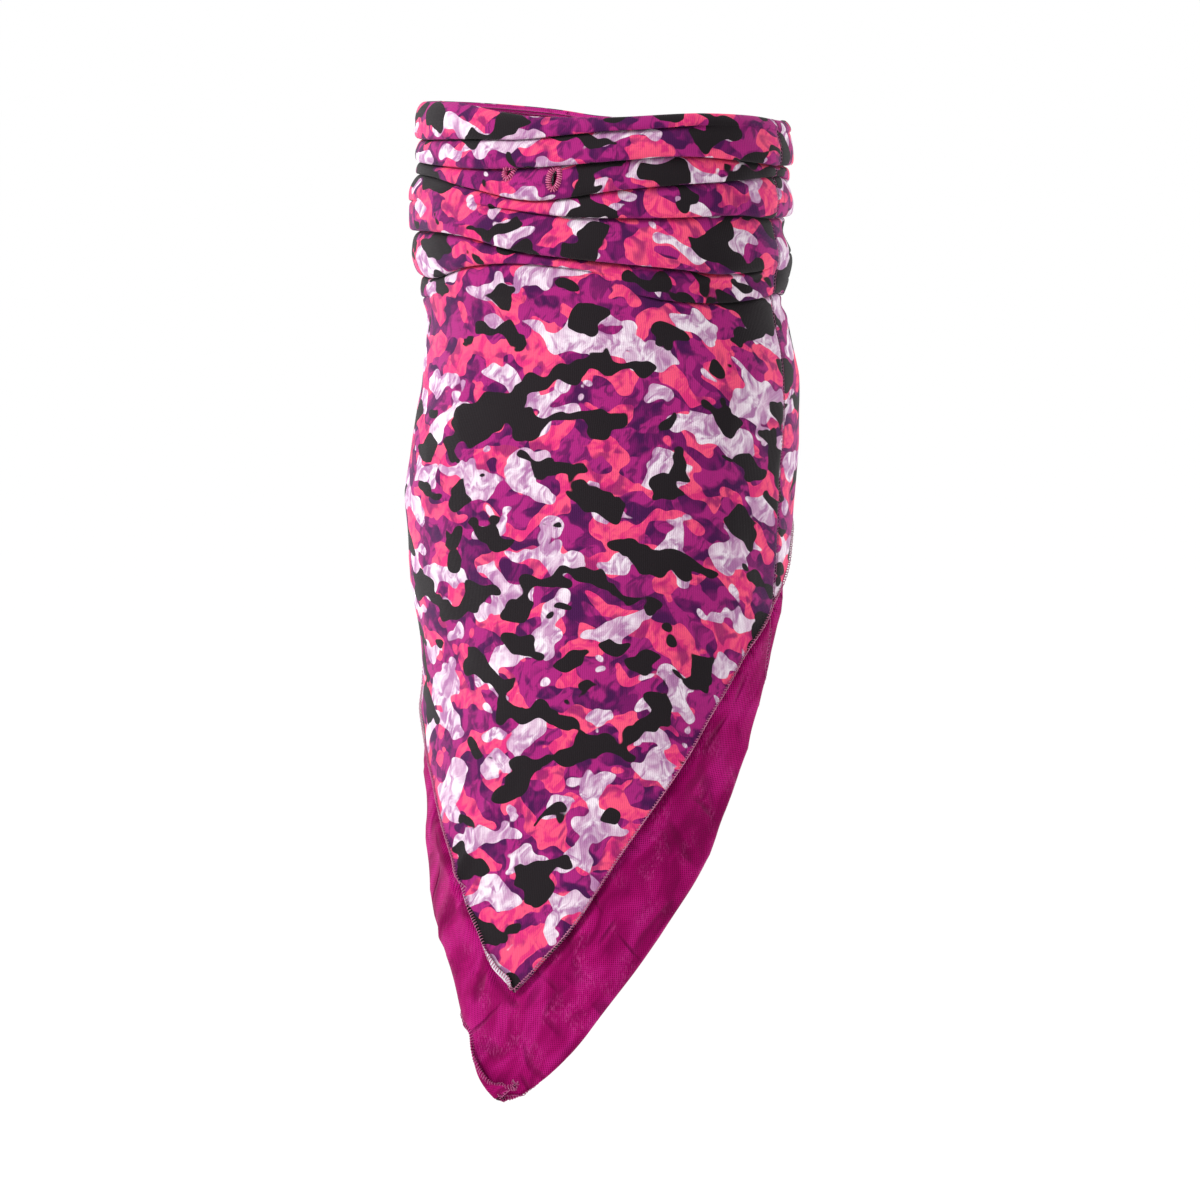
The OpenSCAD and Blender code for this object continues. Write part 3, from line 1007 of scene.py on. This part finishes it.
def outside_eyelets(across, down, centres, spare):
    """Which cells stay when the eyelets' holes are cut, spare wider than the open middle."""
    keep = np.ones(across.shape, bool)
    half = EYELET_HALF - SATIN_WIDTH + spare
    for centre in centres:
        keep &= np.hypot((across - centre[0]) / half[0], (down - centre[1]) / half[1]) > 1
    return keep


def cell_middles(values):
    return (values[:-1, :-1] + values[1:, 1:]) / 2


def panel(name, grid, materials, slot, keep=None):
    return settle(cloth_piece(name, grid, materials, keep), slot, name + "_panel")


def overlock(hem, front_grid, back_grid, material, slot, seed):
    """Looper thread wound over a hem, and the needle's line of stitches beside it."""
    edge = hem_edge(front_grid, back_grid)
    parts = Parts()
    parts.add(*edge.wound(wide=2.2, thick=1.0, pitch=1.35, radius=0.22, inset=0.75, seed=seed))
    parts.add(*edge.run(inset=1.95, lift=0.22, stitch=2.2, radius=0.17, sway=0.12))
    return settle(parts.piece(hem + "_stitches", (material,)), slot, hem + "_overlock")


def side_seam(name, grid, material):
    """Ladder of stitches over the seam at a panel's first column, with needle stitches at each side."""
    edge = Edge(grid.points[0], grid.normals[0], grid.points[1])
    parts = Parts()
    parts.add(*edge.wound(wide=1.5, thick=0.70, pitch=1.6, radius=0.15, steps=8, seed=3, sides=5))
    for inset in (-0.85, 0.85):
        parts.add(*edge.run(inset=inset, lift=0.16, stitch=2.0, radius=0.13, sides=5))
    return settle(parts.piece(name + "_stitches", (material,)), "seam_thread", name)


RIDGE_OUT, RIDGE_DEPTH = -4.75, 3.0  # the middle of the turned-in rim's ridge
RIDGE_THICK, RIDGE_TALL = 0.55, 1.5  # half of its size
RIDGE_FACE = -5.35  # where its stitches lie


def rim_seam():
    """The turned-in rim: a narrow ridge of the lining just inside the opening, stitched all round."""
    angle = panel_angles(0, 360, 300)[:-1]
    middle = rim_depth(angle) + RIDGE_DEPTH
    turn = np.linspace(0, 2 * math.pi, 13)[:-1]
    out = RIDGE_OUT + RIDGE_THICK * np.cos(turn)[None, :] + 0.12 * bumps(angle, 0, 60, 50, 90)[:, None]
    rise = RIDGE_TALL * np.sin(turn)[None, :]
    flat = np.stack(np.broadcast_arrays(along(angle)[:, None], rise), axis=-1)
    parts = Parts()
    parts.add(place(angle[:, None], out, middle[:, None] + rise), tube_faces(*out.shape, True), flat)
    line = place(angle, RIDGE_FACE, middle)
    inward = unit(place(angle, RIDGE_FACE - 1, middle) - line)
    edge = Edge(line, inward, place(angle, RIDGE_FACE, middle + 2), closed=True)
    for inset in (-0.7, 0.7):
        parts.add(*edge.run(inset=inset, lift=0.20, stitch=2.4, radius=0.16), slot=1)
    return settle(parts.piece("rim_seam", (MAGENTA, SEAM_THREAD)), "magenta_knit", "top_rim_seam")


def eyelet(name, centre):
    """Satin stitch wound round an oval hole, over a padding ring."""
    half = EYELET_HALF - SATIN_WIDTH / 2
    turn = np.linspace(0, 2 * math.pi, 121)[:-1]
    ring = centre + np.stack([half[0] * np.cos(turn), half[1] * np.sin(turn)], axis=-1)
    inner = centre + 0.5 * (ring - centre)
    found = [front.at(*spot) for spot in ring]
    points, normals = (np.array(values) for values in zip(*found))
    inside = np.array([front.at(*spot)[0] for spot in inner])
    edge = Edge(points, normals, inside, closed=True)
    parts = Parts()
    parts.add(*edge.wound(wide=SATIN_WIDTH, thick=1.7, pitch=0.95, radius=0.33, steps=12, seed=8))
    padding = edge.wound(wide=SATIN_WIDTH * 0.75, thick=1.1, pitch=0.55, radius=0.30, steps=10, seed=9)
    parts.add(*padding, slot=1)
    return settle(parts.piece(name + "_stitches", (EYELET_THREAD, PADDING_THREAD)), "eyelet_thread", name)


def backing():
    """Stabiliser between the layers, with the eyelets' holes through it."""
    half_wide, _, half_high = (BACKING_HIGH - BACKING_LOW) / 2
    middle = -(BACKING_HIGH[2] + BACKING_LOW[2]) / 2
    angle = angle_at(np.linspace(-half_wide, half_wide, 151))[:, None]
    depth = np.linspace(middle - half_high, middle + half_high, 35)[None, :] + 0 * angle
    angle = angle + 0 * depth
    grid = Grid(angle, lining_out(angle, depth) + 0.45, depth)
    centres = [(centre[0], -front.at(*centre)[0][2]) for centre in EYELETS.values()]
    keep = outside_eyelets(cell_middles(grid.across), cell_middles(grid.depth), centres, 0.9)
    piece = cloth_piece("eyelet_backing_sheet", grid, (STABILISER,), keep, thickness=0.3)
    return settle(piece, "stabiliser", "eyelet_backing")


LABEL_SPAN = (94, 106)  # angles of its sides
LEAF_ROWS = 30  # rows of points in each of its two leaves


def care_label():
    """Blank tape folded into a loop, its ends sewn in beside the side seam."""
    top, bottom = -LABEL_HIGH[2], -LABEL_LOW[2]
    angle = panel_angles(*LABEL_SPAN, 24)[:, None]
    fall = np.concatenate([np.linspace(0, 1, LEAF_ROWS), np.linspace(1, 0, LEAF_ROWS)])[None, :]
    leaf = np.repeat((0.0, 1.0), LEAF_ROWS)[None, :]
    fold = 0.45 * np.sin(math.pi * np.clip((fall - 0.94) / 0.12, 0, 1)) * (1 - leaf)
    depth = top + (bottom - top) * fall + 0 * angle
    curl = 0.025 * (along(angle) - along(sum(LABEL_SPAN) / 2)) ** 2
    hang = 1.2 + 1.6 * ease(0, 1, fall) + 0.9 * leaf * ease(0, 0.05, fall) + fold
    out = lining_out(angle + 0 * depth, depth) - CLOTH - hang - curl * fall
    grid = Grid(angle + 0 * depth, out, depth)
    piece = cloth_piece("care_label_tape", grid, (LABEL,), thickness=0.22)
    return settle(piece, "label_tape", "care_label")


OUTER_KEEP = outside_eyelets(cell_middles(front.across), cell_middles(front.length), EYELETS.values(), 0.8)
PANELS = [
    panel("outer_front", front, (JERSEY, REVERSE), "printed_jersey", OUTER_KEEP),
    panel("outer_back", back, (JERSEY, REVERSE), "printed_jersey"),
    panel("lining_front", lining_front, (MAGENTA,), "magenta_knit"),
    panel("lining_back", lining_back, (MAGENTA,), "magenta_knit"),
]
OUTER_TRIM = [
    overlock("outer_hem", front, back, PINK_THREAD, "pink_thread", 5),
    side_seam("outer_left_seam", back, SEAM_THREAD),
    side_seam("outer_right_seam", front, SEAM_THREAD),
    rim_seam(),
]
OUTER_TRIM.extend(eyelet(name, centre) for name, centre in EYELETS.items())
LINING_TRIM = [
    overlock("lining_hem", lining_front, lining_back, MAGENTA_THREAD, "magenta_thread", 6),
    side_seam("lining_left_seam", lining_back, MAGENTA_THREAD),
    side_seam("lining_right_seam", lining_front, MAGENTA_THREAD),
]
backing()
care_label()

GRIDS = (front, back, lining_front, lining_back)
TRIMS = (OUTER_TRIM, (), LINING_TRIM, ())
for piece, grid, trim in zip(PANELS, GRIDS, TRIMS):
    grid.flat_size()
    grid.flat_area()


# ---------------- camera, lights and floor
VIEW_ANGLE, VIEW_LIFT = 28, 2.8  # degrees round from the front, and above level
VIEW_DISTANCE = 8.0  # metres
VIEW_WIDTH = 0.540  # what the picture takes in across the object
VIEW_HEIGHT = -0.2228  # of the picture's middle
VIEW_SIDE = -0.0018  # its middle's place beside the tube's axis
LIGHT_AIM_HEIGHT = -0.2
FLOOR_DEPTH, FLOOR_REACH = 760, 30000


def add_camera():
    data = bpy.data.cameras.new("camera")
    camera = add_object("camera", data)
    data.sensor_width = 36
    data.lens = data.sensor_width * VIEW_DISTANCE / VIEW_WIDTH
    data.clip_end = 100
    turn, lift = math.radians(VIEW_ANGLE), math.radians(VIEW_LIFT)
    target = np.array((VIEW_SIDE * math.cos(turn), VIEW_SIDE * math.sin(turn), VIEW_HEIGHT))
    away = np.array((math.sin(turn) * math.cos(lift), -math.cos(turn) * math.cos(lift), math.sin(lift)))
    camera.location = target + VIEW_DISTANCE * away
    camera.rotation_euler = (math.pi / 2 - lift, 0, turn)
    bpy.context.scene.camera = camera


def add_softbox(name, azimuth, height, distance, size, power):
    """An area light aimed at the object from an azimuth, in the same sense as the cloth's angles."""
    data = bpy.data.lights.new(name, "AREA")
    data.shape = "RECTANGLE"
    data.size, data.size_y = size
    data.energy = power
    lamp = add_object(name, data)
    turn = math.radians(azimuth)
    lamp.location = (distance * math.sin(turn), -distance * math.cos(turn), height)
    aim = -lamp.location.copy()
    aim.z = LIGHT_AIM_HEIGHT - lamp.location.z
    lamp.rotation_euler = aim.to_track_quat("-Z", "Y").to_euler()


def add_world(strength):
    world = bpy.data.worlds.new("studio")
    bpy.context.scene.world = world
    world.use_nodes = True
    background = world.node_tree.nodes["Background"]
    background.inputs["Color"].default_value = (1, 1, 1, 1)
    background.inputs["Strength"].default_value = strength


def add_floor():
    flat = FLOOR_REACH * np.array(((-1, -1), (1, -1), (1, 1), (-1, 1)))
    parts = Parts()
    parts.add(np.hstack([flat, np.full((4, 1), -FLOOR_DEPTH)]), [[0, 1, 2, 3]], flat)
    parts.piece("floor", (floor_paint(),))


add_camera()
add_world(1.0)
add_softbox("key", azimuth=-38, height=1.3, distance=2.0, size=(0.9, 0.9), power=58)
add_softbox("left_edge", azimuth=-105, height=0.1, distance=1.2, size=(0.5, 1.6), power=12)
add_softbox("right_edge", azimuth=150, height=0.1, distance=1.2, size=(0.5, 1.6), power=12)
add_floor()
bpy.context.scene.view_settings.view_transform = "Standard"
